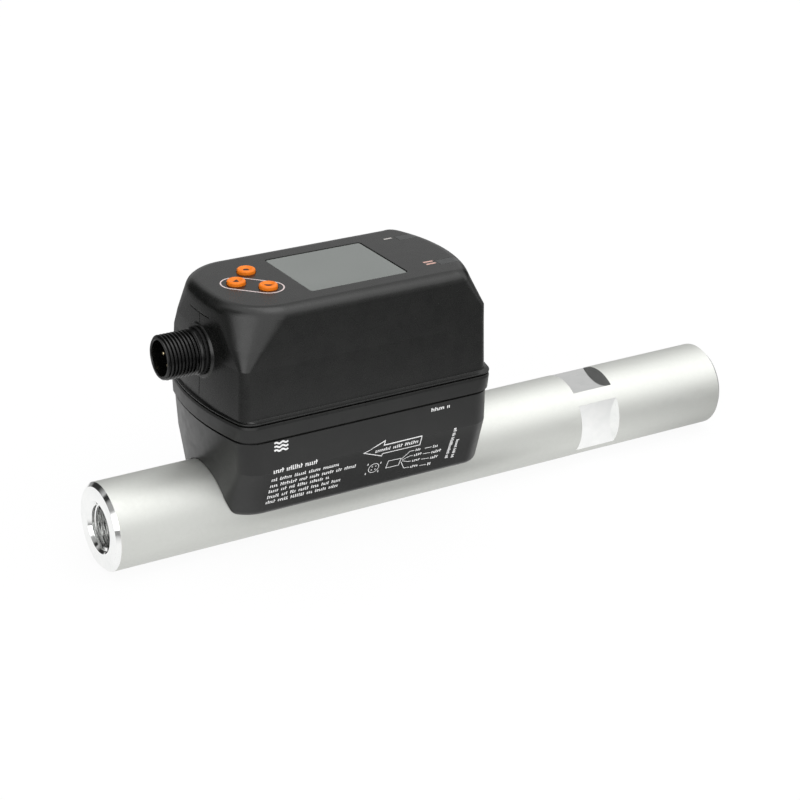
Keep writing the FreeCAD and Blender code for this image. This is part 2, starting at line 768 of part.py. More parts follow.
def control_board_screws():
    z = CONTROL_TOP - CONTROL_T
    return Part.makeCompound([screw(x, y, z, -1, BOARD_SCREW_R, BOARD_SCREW_HEAD_R, BOARD_SCREW_HEAD_H,
                                    BOARD_SCREW_LENGTH) for x, y in control_screw_places()])


def main_board():
    z1 = MAIN_Z + MAIN_T
    board = plate(MAIN_START, MAIN_END, MAIN_HALF, MAIN_Z, z1, MAIN_CORNER_R)
    for x, y in main_screw_places():
        board = board.cut(rod_z(BOARD_SCREW_R + BOND_GAP, MAIN_Z, z1, x, y))
    return board


def main_board_screws():
    return Part.makeCompound([screw(x, y, MAIN_Z + MAIN_T, 1, BOARD_SCREW_R, BOARD_SCREW_HEAD_R,
                                    BOARD_SCREW_HEAD_H, BOARD_SCREW_LENGTH) for x, y in main_screw_places()])


def main_socket(start):
    z = MAIN_Z + MAIN_T
    return box(start, start + SOCKET_L, -SOCKET_HALF, SOCKET_HALF, z, z + SOCKET_H)


def main_ribbon_socket():
    return main_socket(BOARD_SOCKET_START)


def connector_ribbon_socket():
    return main_socket(CONNECTOR_SOCKET_START)


def control_ribbon_socket():
    z = CONTROL_TOP - CONTROL_T
    return box(BOARD_SOCKET_START, BOARD_SOCKET_START + SOCKET_L, -SOCKET_HALF, SOCKET_HALF, z - SOCKET_H, z)


def board_ribbon():
    x0 = BOARD_SOCKET_START + SOCKET_L
    x1 = BOARD_RIBBON_END
    top = CONTROL_TOP - CONTROL_T - SOCKET_H / 2 + RIBBON_T / 2
    low = MAIN_Z + MAIN_T + SOCKET_H / 2 - RIBBON_T / 2
    t = RIBBON_T
    return strip([(x0, top), (x1, top), (x1, low), (x0, low), (x0, low + t), (x1 - t, low + t),
                  (x1 - t, top - t), (x0, top - t)], RIBBON_HALF)


def connector_ribbon():
    x0 = INSERT_BACK + M12_BOARD_T
    x1 = CONNECTOR_SOCKET_START
    low = MAIN_Z + MAIN_T + SOCKET_H / 2 - RIBBON_T / 2
    t = RIBBON_T
    return strip([(x0, CONNECTOR_RIBBON_TOP), (x0 + t, CONNECTOR_RIBBON_TOP), (x0 + t, low + t),
                  (x1, low + t), (x1, low), (x0, low)], RIBBON_HALF)


# M12 connector

def connector_body():
    body = turned_x([
        (M12_MOUTH, M12_BORE_R),
        (M12_MOUTH, M12_THREAD_R - M12_CHAMFER),
        (M12_MOUTH + M12_CHAMFER, M12_THREAD_R),
        (M12_THREAD_END, M12_THREAD_R),
        (M12_THREAD_END, M12_COLLAR_R),
        (M12_COLLAR_END, M12_COLLAR_R),
        (M12_COLLAR_END, M12_NECK_R),
        (M12_BACK, M12_NECK_R),
        (M12_BACK, M12_BORE_R),
    ], 0.0, M12_Z)
    crown = M12_Z + M12_BORE_R
    key = box(M12_KEY_START, INSERT_FACE, -M12_KEY_HALF, M12_KEY_HALF, crown - M12_KEY_H,
              crown + M12_KEY_H / 2)
    key.rotate(FreeCAD.Vector(0, 0, M12_Z), FreeCAD.Vector(1, 0, 0), M12_KEY_TURN)
    return body.fuse(key).removeSplitter()


def pin_places():
    return [(0, M12_Z + PIN_CIRCLE_R), (PIN_CIRCLE_R, M12_Z), (0, M12_Z - PIN_CIRCLE_R),
            (-PIN_CIRCLE_R, M12_Z)]


def connector_insert():
    insert = rod_x(M12_BORE_R - RUNNING_FIT, INSERT_FACE, M12_BACK, 0, M12_Z)
    insert = insert.fuse(rod_x(INSERT_FLANGE_R, M12_BACK, INSERT_BACK, 0, M12_Z))
    for y, z in pin_places():
        insert = insert.cut(rod_x(PIN_R + PIN_FIT, INSERT_FACE, INSERT_BACK, y, z))
    return insert.removeSplitter()


def contact_pin(number):
    y, z = pin_places()[number - 1]
    pin = rod_x(PIN_R, PIN_TIP, PIN_BACK, y, z)
    tip = [e for e in pin.Edges if e.BoundBox.XMax < PIN_TIP + 0.01]
    return pin.makeFillet(PIN_R / 2, tip)


def contact_pin_1():
    return contact_pin(1)


def contact_pin_2():
    return contact_pin(2)


def contact_pin_3():
    return contact_pin(3)


def contact_pin_4():
    return contact_pin(4)


def connector_seal():
    ring = turned_x([(M12_COLLAR_END, M12_NECK_R), (M12_COLLAR_END, M12_SEAL_R),
                     (M12_BOSS_FACE, M12_SEAL_R), (M12_BOSS_FACE, M12_NECK_R)], 0.0, M12_Z)
    rims = [e for e in ring.Edges if len(e.Vertexes) == 1 and e.Curve.Radius > M12_SEAL_R - 0.01]
    return ring.makeFillet(M12_SEAL_EDGE_R, rims)


def connector_nut():
    corner_r = NUT_FLATS / 2 / math.cos(math.pi / 6)
    corners = []
    for step in range(6):
        a = step * math.pi / 3
        corners.append(FreeCAD.Vector(M12_BOSS_BACK, corner_r * math.sin(a), M12_Z + corner_r * math.cos(a)))
    hexagon = Part.Face(Part.makePolygon(corners + corners[:1])).extrude(FreeCAD.Vector(NUT_T, 0, 0))
    return hexagon.cut(rod_x(M12_NECK_R + RUNNING_FIT, M12_BOSS_BACK, M12_BOSS_BACK + NUT_T, 0, M12_Z))


def connector_board():
    board = rod_x(M12_BOARD_R, INSERT_BACK, INSERT_BACK + M12_BOARD_T, 0, M12_Z)
    for y, z in pin_places():
        board = board.cut(rod_x(PIN_R + PIN_FIT, INSERT_BACK, INSERT_BACK + M12_BOARD_T, y, z))
    return board


# Sensor probe

def flange_plate(half_l, half_w, z0, z1, corner_r):
    shape = plate(-half_l, half_l, half_w, z0, z1, corner_r)
    shape.translate(FreeCAD.Vector(PROBE_X, 0, 0))
    return shape


def element_places():
    return [PROBE_X - ELEMENT_X, PROBE_X + ELEMENT_X]


def sensor_probe():
    plug = rod_z(PLUG_R, PLUG_Z, PAD_Z, PROBE_X, 0)
    groove = rod_z(PROBE_HOLE_R, PROBE_GROOVE_Z, PROBE_GROOVE_Z + PROBE_GROOVE_W, PROBE_X, 0)
    groove = groove.cut(rod_z(PROBE_GROOVE_R, PROBE_GROOVE_Z, PROBE_GROOVE_Z + PROBE_GROOVE_W, PROBE_X, 0))
    probe = plug.cut(groove)
    probe = probe.fuse(flange_plate(PLUG_FLANGE_L / 2, PLUG_FLANGE_W / 2, PAD_Z, PAD_Z + PLUG_FLANGE_T,
                                    PLUG_FLANGE_CORNER_R))
    for x in probe_screw_places():
        probe = probe.cut(rod_z(SCREW_R + BOND_GAP, PAD_Z, PAD_Z + PLUG_FLANGE_T, x, 0))
    for x in element_places():
        probe = probe.cut(rod_z(ELEMENT_R + PIN_FIT, PLUG_Z, ELEMENT_TOP, x, 0))
    return probe.removeSplitter()


def probe_seal():
    z0 = PROBE_GROOVE_Z + SLIP_GAP
    z1 = PROBE_GROOVE_Z + PROBE_GROOVE_W - SLIP_GAP
    ring = rod_z(PROBE_HOLE_R, z0, z1, PROBE_X, 0).cut(rod_z(PROBE_GROOVE_R, z0, z1, PROBE_X, 0))
    rims = [e for e in ring.Edges if len(e.Vertexes) == 1]
    return ring.makeFillet(PROBE_SEAL_EDGE_R, rims)


def element(x):
    return rod_z(ELEMENT_R, ELEMENT_TIP, ELEMENT_TOP, x, 0)


def heated_element():
    return element(element_places()[0])


def reference_element():
    return element(element_places()[1])


def probe_screws():
    head_z = PAD_Z + PLUG_FLANGE_T
    return Part.makeCompound([screw(x, 0, head_z, 1, SCREW_R, SCREW_HEAD_R, SCREW_HEAD_H,
                                    head_z - PIPE_SCREW_TIP_Z) for x in probe_screw_places()])


def port_seal():
    collar = flange_plate(PORT_OPENING_L / 2 - BOND_GAP, PORT_OPENING_W / 2 - BOND_GAP, PAD_Z,
                          PORT_SEAL_TOP, LEAST_CORNER_R)
    return collar.cut(flange_plate(PLUG_FLANGE_L / 2 + BOND_GAP, PLUG_FLANGE_W / 2 + BOND_GAP, PAD_Z,
                                   PORT_SEAL_TOP, PLUG_FLANGE_CORNER_R + BOND_GAP))


def probe_header():
    return middle_box(PROBE_X, 0, HEADER_HALF_L, HEADER_HALF_W, PAD_Z + PLUG_FLANGE_T, MAIN_Z)


def housing_screws():
    return Part.makeCompound([screw(x, 0, FLOOR_Z, 1, SCREW_R, SCREW_HEAD_R, SCREW_HEAD_H,
                                    FLOOR_Z - PIPE_SCREW_TIP_Z) for x in housing_screw_places()])


PIECES = [
    measuring_pipe, lower_housing, upper_housing, housing_gasket,
    display_window, display_gasket, display_module, display_ribbon, display_ribbon_socket,
    enter_button, up_button, down_button, enter_switch, up_switch, down_switch, button_seal,
    output_light_1, output_light_2, output_led_1, output_led_2,
    control_board, control_board_screws, main_board, main_board_screws,
    board_ribbon, control_ribbon_socket, main_ribbon_socket,
    connector_body, connector_insert, contact_pin_1, contact_pin_2, contact_pin_3, contact_pin_4,
    connector_seal, connector_nut, connector_board, connector_ribbon, connector_ribbon_socket,
    sensor_probe, probe_seal, heated_element, reference_element, probe_screws, port_seal, probe_header,
    housing_screws,
]

os.makedirs("parts", exist_ok=True)
for piece in PIECES:
    shape = piece()
    shape.exportStep("parts/" + piece.__name__ + ".step")
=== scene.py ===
import math
import random

import bmesh
import bpy
from mathutils import Matrix, Vector


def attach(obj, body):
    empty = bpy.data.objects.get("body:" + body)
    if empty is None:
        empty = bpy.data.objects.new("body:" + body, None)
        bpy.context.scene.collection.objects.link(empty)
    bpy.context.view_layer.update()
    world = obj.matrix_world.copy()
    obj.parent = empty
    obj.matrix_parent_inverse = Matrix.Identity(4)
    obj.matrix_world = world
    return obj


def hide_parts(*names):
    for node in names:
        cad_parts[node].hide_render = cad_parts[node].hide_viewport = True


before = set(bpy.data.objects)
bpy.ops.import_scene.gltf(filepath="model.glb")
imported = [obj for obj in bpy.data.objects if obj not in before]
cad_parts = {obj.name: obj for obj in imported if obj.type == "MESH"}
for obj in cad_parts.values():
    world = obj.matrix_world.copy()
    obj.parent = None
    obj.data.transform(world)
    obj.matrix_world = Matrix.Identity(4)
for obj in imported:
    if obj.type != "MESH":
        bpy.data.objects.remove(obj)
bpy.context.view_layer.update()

# Sizes are in millimetres here and become metres in the meshes
MM = 0.001
BODY = "meter"

# Measuring pipe
PIPE_R = 12.0
PIPE_FACE = -1.4
PIPE_END = 195.1
PIPE_CHAMFER = 1.05
PORT_MINOR_R = 5.7225
PORT_DEPTH = 12.0
PORT_SINK = 1.4
PORT_PITCH = 1.337
PORT_THREAD_H = 0.8
PORT_THREAD_END = 12.2
CHANNEL_R = 4.0
DRILL_RUN = (PORT_MINOR_R - CHANNEL_R) / math.tan(math.radians(59))
FLATS_START = 144.2
FLATS_END = 157.4
FLATS_HALF = 9.8
PROBE_X = 67.4
PAD_Z = 10.4
PAD_HALF = 15.2
PROBE_HOLE_R = 5.1
PROBE_HOLE_Z = 2.8
SCREW_HOLE_R = 1.55
SCREW_HOLE_Z = 5.6
SCREW_REACHES = (-33.0, -20.0, -10.4, 10.4, 20.0, 33.0)
CUTTER_R = PIPE_R + 1.0
SKIN_R = PIPE_R - 0.05

# M12 connector
M12_Z = 44.08
M12_MOUTH = 17.0
M12_MOUTH_R = 5.5
M12_THREAD_R = 6.0
M12_THREAD_END = 26.5
M12_PITCH = 1.0
M12_THREAD_H = 0.62
M12_COLLAR_R = 6.25
M12_COLLAR_END = 27.4
M12_NECK_R = 5.65
M12_BACK = 35.0
M12_BORE_R = 4.7
M12_EDGE = 0.2
KEY_START = 19.0
KEY_END = 26.8
KEY_TURN = math.radians(-45)
KEY_HALF = 0.5
KEY_H = 0.6

# Housing
TOP_Z = 60.0
SIDE_Y = 21.4
FACET_Z = 15.6
FACET_SLOPE = 6.1 / 15.0

# Push buttons: place in plan, and the dish in each cap
ENTER_XY = (46.0, 7.2)
UP_XY = (39.9, 1.1)
DOWN_XY = (45.9, -5.2)
CAP_TOP = 61.05
DISH_RIM_R = 1.65
DISH_DEPTH = 0.55
DISH_R = (DISH_RIM_R ** 2 + DISH_DEPTH ** 2) / (2 * DISH_DEPTH)

# Meshes
SEGMENTS = 128
THREAD_STEPS = 10
THREAD_CREST = 0.14
THREAD_FLANK = 0.72
HOLE_SIDES = 48
POINT_DIGITS = 6
SMOOTH_ANGLE = math.radians(28)


# Shader nodes

BEVEL_SAMPLES = 4
# Noise lies mostly between these two values, and tones drift within a spread round its middle
NOISE_LOW = 0.3
NOISE_HIGH = 0.7
MOTTLE_SPREAD = 0.15
STRIPE_SPREAD = 0.05


class Graph:
    """Shader nodes of one material or world"""

    def __init__(self, owner):
        owner.use_nodes = True
        self.nodes = owner.node_tree.nodes
        self.links = owner.node_tree.links

    def add(self, kind, inputs=None, **settings):
        """New node; each input is joined to an output or set to a value"""
        node = self.nodes.new("ShaderNode" + kind)
        for name, value in settings.items():
            setattr(node, name, value)
        for key, value in (inputs or {}).items():
            if isinstance(value, bpy.types.NodeSocket):
                self.links.new(value, node.inputs[key])
            else:
                node.inputs[key].default_value = value
        return node

    def math(self, operation, *values):
        return self.add("Math", dict(enumerate(values)), operation=operation).outputs["Value"]

    def vector(self, operation, *values):
        return self.add("VectorMath", dict(enumerate(values)), operation=operation).outputs["Value"]

    def ranged(self, value, start, end, low=0.0, high=1.0, kind="LINEAR"):
        """Value carried from start and end to low and high, and held beyond them"""
        inputs = {"Value": value, "From Min": start, "From Max": end, "To Min": low, "To Max": high}
        return self.add("MapRange", inputs, interpolation_type=kind).outputs["Result"]

    def mix(self, share, first, second):
        return self.add("MixShader", {0: share, 1: first, 2: second}).outputs["Shader"]

    def ramp(self, share, dark, light, spread):
        """Colour that turns from dark to light within a spread on each side of one half"""
        node = self.add("ValToRGB", {"Fac": share})
        for i, place, colour in ((0, 0.5 - spread, dark), (1, 0.5 + spread, light)):
            node.color_ramp.elements[i].position = place
            node.color_ramp.elements[i].color = (*colour, 1.0)
        return node.outputs["Color"]


class Finish(Graph):
    """A material round one Principled shader, with object coordinates for its textures"""

    def __init__(self, name, colour, roughness, metallic=0.0, specular=0.5):
        self.material = bpy.data.materials.new(name)
        super().__init__(self.material)
        self.shader = self.nodes["Principled BSDF"].inputs
        self.shader["Base Color"].default_value = (*colour, 1.0)
        self.shader["Roughness"].default_value = roughness
        self.shader["Metallic"].default_value = metallic
        self.shader["Specular IOR Level"].default_value = specular
        self.place = self.add("TexCoord").outputs["Object"]
        self.bevel = None

    def noise(self, scale, detail=2.0, stretch=None):
        place = self.place
        if stretch:
            place = self.add("Mapping", {"Scale": stretch, "Vector": place}).outputs["Vector"]
        inputs = {"Scale": scale, "Detail": detail, "Vector": place}
        return self.add("TexNoise", inputs).outputs["Fac"]

    def wave(self, scale, direction="X"):
        inputs = {"Scale": scale, "Vector": self.place}
        return self.add("TexWave", inputs, bands_direction=direction).outputs["Fac"]

    def mottle(self, dark, light, scale, detail=3.0, stretch=None):
        """Base colour that drifts between two tones"""
        colour = self.ramp(self.noise(scale, detail, stretch), dark, light, MOTTLE_SPREAD)
        self.links.new(colour, self.shader["Base Color"])

    def uneven(self, low, high, scale):
        """Roughness that drifts between two values"""
        roughness = self.ranged(self.noise(scale), NOISE_LOW, NOISE_HIGH, low, high)
        self.links.new(roughness, self.shader["Roughness"])

    def soft_edges(self, radius):
        self.bevel = self.add("Bevel", {"Radius": radius * MM}, samples=BEVEL_SAMPLES).outputs["Normal"]
        self.links.new(self.bevel, self.shader["Normal"])

    def relief(self, height, strength, depth):
        inputs = {"Strength": strength, "Distance": depth * MM, "Height": height}
        if self.bevel:
            inputs["Normal"] = self.bevel
        self.links.new(self.add("Bump", inputs).outputs["Normal"], self.shader["Normal"])

    def grain(self, scale, strength, depth, stretch=None):
        self.relief(self.noise(scale, stretch=stretch), strength, depth)


# Materials

def cover_plastic():
    finish = Finish("cover_plastic", (0.005, 0.0053, 0.005), 0.27)
    finish.mottle((0.0040, 0.0043, 0.0040), (0.0058, 0.0061, 0.0056), 160.0)
    finish.uneven(0.24, 0.30, 420.0)
    finish.soft_edges(0.25)
    finish.grain(2600.0, 0.06, 0.01)
    return finish.material


def housing_plastic():
    finish = Finish("housing_plastic", (0.006, 0.0063, 0.006), 0.32)
    finish.mottle((0.0050, 0.0053, 0.0050), (0.0068, 0.0071, 0.0066), 160.0)
    finish.uneven(0.30, 0.38, 420.0)
    finish.soft_edges(0.25)
    finish.grain(2600.0, 0.08, 0.01)
    return finish.material


def connector_plastic():
    finish = Finish("connector_plastic", (0.002, 0.002, 0.002), 0.24, specular=0.42)
    finish.mottle((0.0015, 0.0015, 0.0015), (0.003, 0.003, 0.003), 500.0)
    finish.uneven(0.20, 0.28, 900.0)
    finish.grain(3000.0, 0.12, 0.015)
    return finish.material


def rubber():
    finish = Finish("rubber", (0.005, 0.005, 0.005), 0.6, specular=0.25)
    finish.mottle((0.004, 0.004, 0.004), (0.008, 0.008, 0.008), 700.0)
    finish.grain(4000.0, 0.3, 0.02)
    return finish.material


def blasted_aluminium():
    finish = Finish("blasted_aluminium", (0.69, 0.70, 0.67), 0.56, metallic=1.0)
    finish.mottle((0.67, 0.68, 0.65), (0.71, 0.72, 0.69), 60.0, 4.0, (0.25, 1.0, 1.0))
    finish.uneven(0.52, 0.60, 900.0)
    finish.soft_edges(0.12)
    finish.grain(5200.0, 0.12, 0.012)
    return finish.material


def machined_aluminium():
    finish = Finish("machined_aluminium", (0.95, 0.96, 0.95), 0.09, metallic=1.0)
    finish.mottle((0.93, 0.94, 0.93), (0.97, 0.975, 0.965), 300.0)
    finish.uneven(0.06, 0.12, 500.0)
    finish.soft_edges(0.1)
    finish.grain(900.0, 0.05, 0.01, (6.0, 1.0, 1.0))
    return finish.material


def display_glass():
    finish = Finish("display_glass", (0.165, 0.178, 0.169), 0.14)
    finish.mottle((0.160, 0.173, 0.164), (0.172, 0.185, 0.176), 40.0, 1.0)
    finish.uneven(0.10, 0.18, 90.0)
    finish.soft_edges(0.2)
    return finish.material


def orange_plastic():
    finish = Finish("orange_plastic", (0.80, 0.190, 0.010), 0.34, specular=0.25)
    finish.mottle((0.78, 0.180, 0.008), (0.83, 0.205, 0.012), 700.0)
    finish.uneven(0.32, 0.42, 900.0)
    finish.soft_edges(0.15)
    finish.grain(3200.0, 0.08, 0.01)
    return finish.material


def smoked_plastic():
    finish = Finish("smoked_plastic", (0.022, 0.024, 0.024), 0.2)
    finish.mottle((0.018, 0.020, 0.020), (0.026, 0.028, 0.028), 500.0)
    finish.uneven(0.16, 0.26, 700.0)
    finish.soft_edges(0.15)
    return finish.material


def plain_plastic(name, colour, roughness=0.45):
    """Moulded plastic of the pieces inside"""
    finish = Finish(name, colour, roughness)
    finish.mottle(tuple(c * 0.85 for c in colour), colour, 600.0)
    finish.uneven(roughness - 0.06, roughness + 0.06, 800.0)
    finish.grain(2500.0, 0.1, 0.01)
    return finish.material


def plain_metal(name, colour, roughness):
    """Turned or stamped metal with fine marks"""
    finish = Finish(name, colour, roughness, metallic=1.0)
    finish.mottle(tuple(c * 0.9 for c in colour), colour, 900.0)
    finish.uneven(roughness - 0.08, roughness + 0.08, 1200.0)
    finish.grain(3000.0, 0.1, 0.01, (1.0, 1.0, 5.0))
    return finish.material


def laminate():
    """Green board with the weave of its glass cloth"""
    finish = Finish("laminate", (0.008, 0.075, 0.022), 0.35)
    finish.mottle((0.006, 0.060, 0.018), (0.011, 0.090, 0.028), 260.0)
    finish.relief(finish.wave(900.0), 0.1, 0.01)
    return finish.material


def ribbon_film():
    """Amber film with its conductors side by side"""
    finish = Finish("ribbon_film", (0.45, 0.16, 0.02), 0.3)
    wave = finish.wave(320.0, "Y")
    colour = finish.ramp(wave, (0.42, 0.14, 0.02), (0.62, 0.27, 0.06), STRIPE_SPREAD)
    finish.links.new(colour, finish.shader["Base Color"])
    finish.relief(wave, 0.2, 0.02)
    return finish.material


def ink(name, colour):
    """Printed or moulded-in mark, a little uneven"""
    finish = Finish(name, colour, 0.5, specular=0.3)
    finish.mottle(tuple(c * 0.86 for c in colour), colour, 1500.0)
    return finish.material


# Meshes

def held(value, low=0.0, high=1.0):
    return min(max(value, low), high)


def new_piece(name, points, faces, materials, body=BODY):
    """Object from points in millimetres"""
    mesh = bpy.data.meshes.new(name)
    mesh.from_pydata([Vector(p) * MM for p in points], [], faces)
    made = bmesh.new()
    made.from_mesh(mesh)
    bmesh.ops.recalc_face_normals(made, faces=made.faces)
    made.to_mesh(mesh)
    made.free()
    for material in materials:
        mesh.materials.append(material)
    piece = bpy.data.objects.new(name, mesh)
    bpy.context.scene.collection.objects.link(piece)
    if body:
        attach(piece, body)
    return piece


def finished_mesh(piece):
    piece.data.shade_smooth()
    piece.data.set_sharp_from_angle(angle=SMOOTH_ANGLE)
    return piece


def boolean(piece, cutter, operation):
    modifier = piece.modifiers.new("cut", "BOOLEAN")
    modifier.operation = operation
    modifier.solver = "EXACT"
    modifier.object = cutter
    bpy.context.view_layer.update()
    seen = piece.evaluated_get(bpy.context.evaluated_depsgraph_get())
    mesh = bpy.data.meshes.new_from_object(seen)
    piece.modifiers.remove(modifier)
    old = piece.data
    piece.data = mesh
    bpy.data.meshes.remove(old)
    shape = cutter.data
    bpy.data.objects.remove(cutter)
    bpy.data.meshes.remove(shape)
    return piece


def cutter_piece(points, faces):
    return new_piece("cutter", points, faces, [], None)


def box_cutter(x0, x1, y0, y1, z0, z1):
    points = [(x, y, z) for x in (x0, x1) for y in (y0, y1) for z in (z0, z1)]
    faces = [(0, 1, 3, 2), (4, 6, 7, 5), (0, 4, 5, 1), (2, 3, 7, 6), (0, 2, 6, 4), (1, 5, 7, 3)]
    return cutter_piece(points, faces)


def square_ring_cutter(x0, x1, inner, outer):
    """What a milling cutter takes away to leave four flats"""
    points = []
    for half in (inner, outer):
        for x in (x0, x1):
            points += [(x, -half, -half), (x, half, -half), (x, half, half), (x, -half, half)]
    faces = []
    for i in range(4):
        j = (i + 1) % 4
        faces += [(i, j, 4 + j, 4 + i), (8 + i, 12 + i, 12 + j, 8 + j)]
        faces += [(i, 8 + i, 8 + j, j), (4 + i, 4 + j, 12 + j, 12 + i)]
    return cutter_piece(points, faces)


def circle(u, v, r, count):
    angles = [2 * math.pi * i / count for i in range(count)]
    return [(u + r * math.cos(a), v + r * math.sin(a)) for a in angles]


def holes_cutter(holes, top):
    """Upright cylinders from a list of (x, radius, floor)"""
    points = []
    faces = []
    n = HOLE_SIDES
    for x, r, floor in holes:
        first = len(points)
        for z in (floor, top):
            points += [(px, py, z) for px, py in circle(x, 0.0, r, n)]
        for i in range(n):
            j = (i + 1) % n
            faces.append((first + i, first + j, first + n + j, first + n + i))
        faces.append(tuple(first + i for i in range(n)))
        faces.append(tuple(first + n + i for i in range(n)))
    return cutter_piece(points, faces)


# Turned pieces with threads, from rings of (x, radius) round the X axis

def ring(x, r):
    return [(x, r)] * SEGMENTS


def threaded(start, end, pitch, radius_at):
    """Rings that climb along a thread and lie flat at both ends"""
    count = math.ceil((end - start) / pitch * THREAD_STEPS)
    rings = []
    for i in range(-THREAD_STEPS, count + 1):
        rings.append([])
        for j in range(SEGMENTS):
            share = j / SEGMENTS
            x = held(start + pitch * (i / THREAD_STEPS + share), start, end)
            rings[-1].append((x, radius_at(x, (x - start) / pitch - share)))
    return rings


def turned(name, sections, centre_z, materials):
    """Closed solid from sections, each a list of rings; a longer section climbs along its thread"""
    points = []
    index = {}
    faces = []

    def vertex(rings, i, j):
        x, r = rings[i][j]
        a = 2 * math.pi * j / SEGMENTS
        exact = (x, r * math.cos(a), centre_z + r * math.sin(a))
        point = tuple(round(c, POINT_DIGITS) for c in exact)
        if point not in index:
            index[point] = len(points)
            points.append(point)
        return index[point]

    def add_face(*corners):
        kept = [c for n, c in enumerate(corners) if c != corners[n - 1]]
        if len(set(kept)) > 2:
            faces.append(kept)

    seam = SEGMENTS - 1
    for number, rings in enumerate(sections):
        last = len(rings) - 1
        for i in range(last):
            for j in range(seam):
                add_face(vertex(rings, i, j), vertex(rings, i + 1, j),
                         vertex(rings, i + 1, j + 1), vertex(rings, i, j + 1))
            add_face(vertex(rings, i, seam), vertex(rings, i + 1, seam),
                     vertex(rings, min(i + 1 + THREAD_STEPS, last), 0),
                     vertex(rings, min(i + THREAD_STEPS, last), 0))
        following = sections[(number + 1) % len(sections)]
        for j in range(SEGMENTS):
            k = (j + 1) % SEGMENTS
            add_face(vertex(rings, last, j), vertex(following, 0, j),
                     vertex(following, 0, k), vertex(rings, last, k))
    return new_piece(name, points, faces, materials)


def groove_depth(turns):
    """Share of the thread's depth at a place counted in turns: 0 on the crest, 1 at the root"""
    t = abs((turns % 1.0) - 0.5) * 2
    t = held((t - THREAD_CREST) / THREAD_FLANK)
    return t * t * (3 - 2 * t)


def port_radius(x, turns, depth):
    """Radius in a port at a depth behind the pipe's face"""
    countersink = PORT_MINOR_R + PORT_SINK - depth
    fade = held((PORT_THREAD_END - depth) / PORT_PITCH)
    groove = PORT_MINOR_R + PORT_THREAD_H * groove_depth(turns) * fade
    return max(countersink, groove)


def pipe_piece(outside, machined):
    outlet_end = PORT_DEPTH
    inlet_start = PIPE_END - PORT_SINK - PORT_DEPTH
    outlet = threaded(PIPE_FACE, outlet_end, PORT_PITCH,
                      lambda x, turns: port_radius(x, turns, x - PIPE_FACE))
    inlet = threaded(inlet_start, PIPE_END, PORT_PITCH,
                     lambda x, turns: port_radius(x, turns, PIPE_END - x))
    pipe = turned("pipe", [
        outlet,
        [ring(outlet_end, PORT_MINOR_R)],
        [ring(outlet_end + DRILL_RUN, CHANNEL_R)],
        [ring(inlet_start - DRILL_RUN, CHANNEL_R)],
        [ring(inlet_start, PORT_MINOR_R)],
        inlet,
        [ring(PIPE_END, PIPE_R - PIPE_CHAMFER)],
        [ring(PIPE_END - PIPE_CHAMFER, PIPE_R)],
        [ring(PIPE_FACE + PIPE_CHAMFER, PIPE_R)],
        [ring(PIPE_FACE, PIPE_R - PIPE_CHAMFER)],
    ], 0.0, [outside, machined])
    holes = [(PROBE_X + reach, SCREW_HOLE_R, SCREW_HOLE_Z) for reach in SCREW_REACHES]
    holes.append((PROBE_X, PROBE_HOLE_R, PROBE_HOLE_Z))
    flats = square_ring_cutter(FLATS_START, FLATS_END, FLATS_HALF, CUTTER_R)
    pipe = boolean(pipe, flats, "DIFFERENCE")
    pad = box_cutter(PROBE_X - PAD_HALF, PROBE_X + PAD_HALF, -PIPE_R, PIPE_R, PAD_Z, CUTTER_R)
    pipe = boolean(pipe, pad, "DIFFERENCE")
    pipe = boolean(pipe, holes_cutter(holes, CUTTER_R), "DIFFERENCE")
    # The round outside is blasted, and the faces, ports and flats are bright
    for polygon in pipe.data.polygons:
        distance = math.hypot(polygon.center.y / MM, polygon.center.z / MM)
        polygon.material_index = 0 if distance > SKIN_R else 1
    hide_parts("measuring_pipe")
    return finished_mesh(pipe)


def connector_radius(x, turns):
    """Radius of the connector's outside, with its thread and the chamfer at the mouth"""
    chamfer = M12_MOUTH_R + x - M12_MOUTH
    fade = held((M12_THREAD_END - x) / M12_PITCH)
    return min(chamfer, M12_THREAD_R - M12_THREAD_H * groove_depth(turns) * fade)


def connector_piece(material):
    thread = threaded(M12_MOUTH, M12_THREAD_END, M12_PITCH, connector_radius)
    edge = M12_EDGE
    body = turned("connector_sleeve", [
        [ring(M12_MOUTH, M12_MOUTH_R - edge)],
        thread,
        [ring(M12_THREAD_END, M12_COLLAR_R - edge)],
        [ring(M12_THREAD_END + edge, M12_COLLAR_R)],
        [ring(M12_COLLAR_END - edge, M12_COLLAR_R)],
        [ring(M12_COLLAR_END, M12_COLLAR_R - edge)],
        [ring(M12_COLLAR_END, M12_NECK_R)],
        [ring(M12_BACK, M12_NECK_R)],
        [ring(M12_BACK, M12_BORE_R)],
        [ring(M12_MOUTH + edge, M12_BORE_R)],
        [ring(M12_MOUTH, M12_BORE_R + edge)],
    ], M12_Z, [material])
    crown = M12_Z + M12_BORE_R
    key = box_cutter(KEY_START, KEY_END, -KEY_HALF, KEY_HALF, crown - KEY_H, crown + KEY_H / 2)
    to_axis = Matrix.Translation((0, 0, M12_Z * MM))
    key.data.transform(to_axis @ Matrix.Rotation(KEY_TURN, 4, "X") @ to_axis.inverted())
    body = boolean(body, key, "UNION")
    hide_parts("connector_body")
    return finished_mesh(body)


# Marks: thin raised shapes on a surface, given by a function from two flat coordinates and a lift

PRINT_LIFT = 0.025
MARK_LIFT = 0.03
OUTLINE_LIFT = 0.06
SYMBOL_LIFT = 0.02
SHARPEST_MITRE = 0.4


